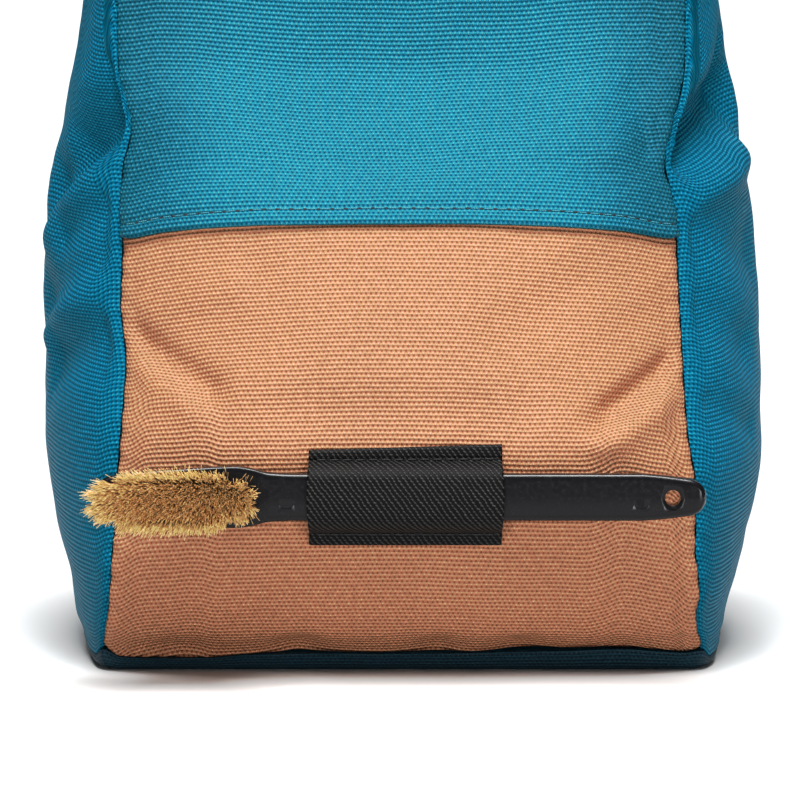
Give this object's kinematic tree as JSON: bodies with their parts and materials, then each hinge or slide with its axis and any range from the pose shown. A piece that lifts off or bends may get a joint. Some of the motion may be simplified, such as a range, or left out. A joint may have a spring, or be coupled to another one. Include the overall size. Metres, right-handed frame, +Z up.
{
  "type": "climbing chalk bag",
  "caption": "Free-standing soft chalk bag with a wide flat base, bulging sides, narrowing open mouth, and a boar-bristle brush held across the front by an elastic sleeve.",
  "frame": {"origin": "middle of the flat underside of the base panel, on the surface the bag stands on", "axes": "+Z up through the mouth, -Y out of the front that carries the brush, +X towards the brush's hanging hole"},
  "size_m": [0.2075, 0.1973, 0.2],
  "materials": {
    "teal_cloth": "coarse plain weave",
    "copper_cloth": "coarse plain weave",
    "dark_teal_cloth": "coarse plain weave",
    "black_elastic": "twill elastic",
    "black_plastic": "gloss",
    "boar_bristle": "natural bristle"
  },
  "bodies": {
    "bag": {"front_upper_panel": "teal_cloth", "front_lower_panel": "copper_cloth", "left_side_panel": "teal_cloth", "right_side_panel": "teal_cloth", "back_panel": "teal_cloth", "base_panel": "dark_teal_cloth", "brush_sleeve": "black_elastic"},
    "brush": {"brush_handle": "black_plastic", "brush_bristles": "boar_bristle"}
  },
  "joints": [
    {"name": "brush_slide", "type": "slide", "parent": "bag", "child": "brush", "axis": [-1, 0, 0], "range_m": [-0.008, 0.108]}
  ]
}
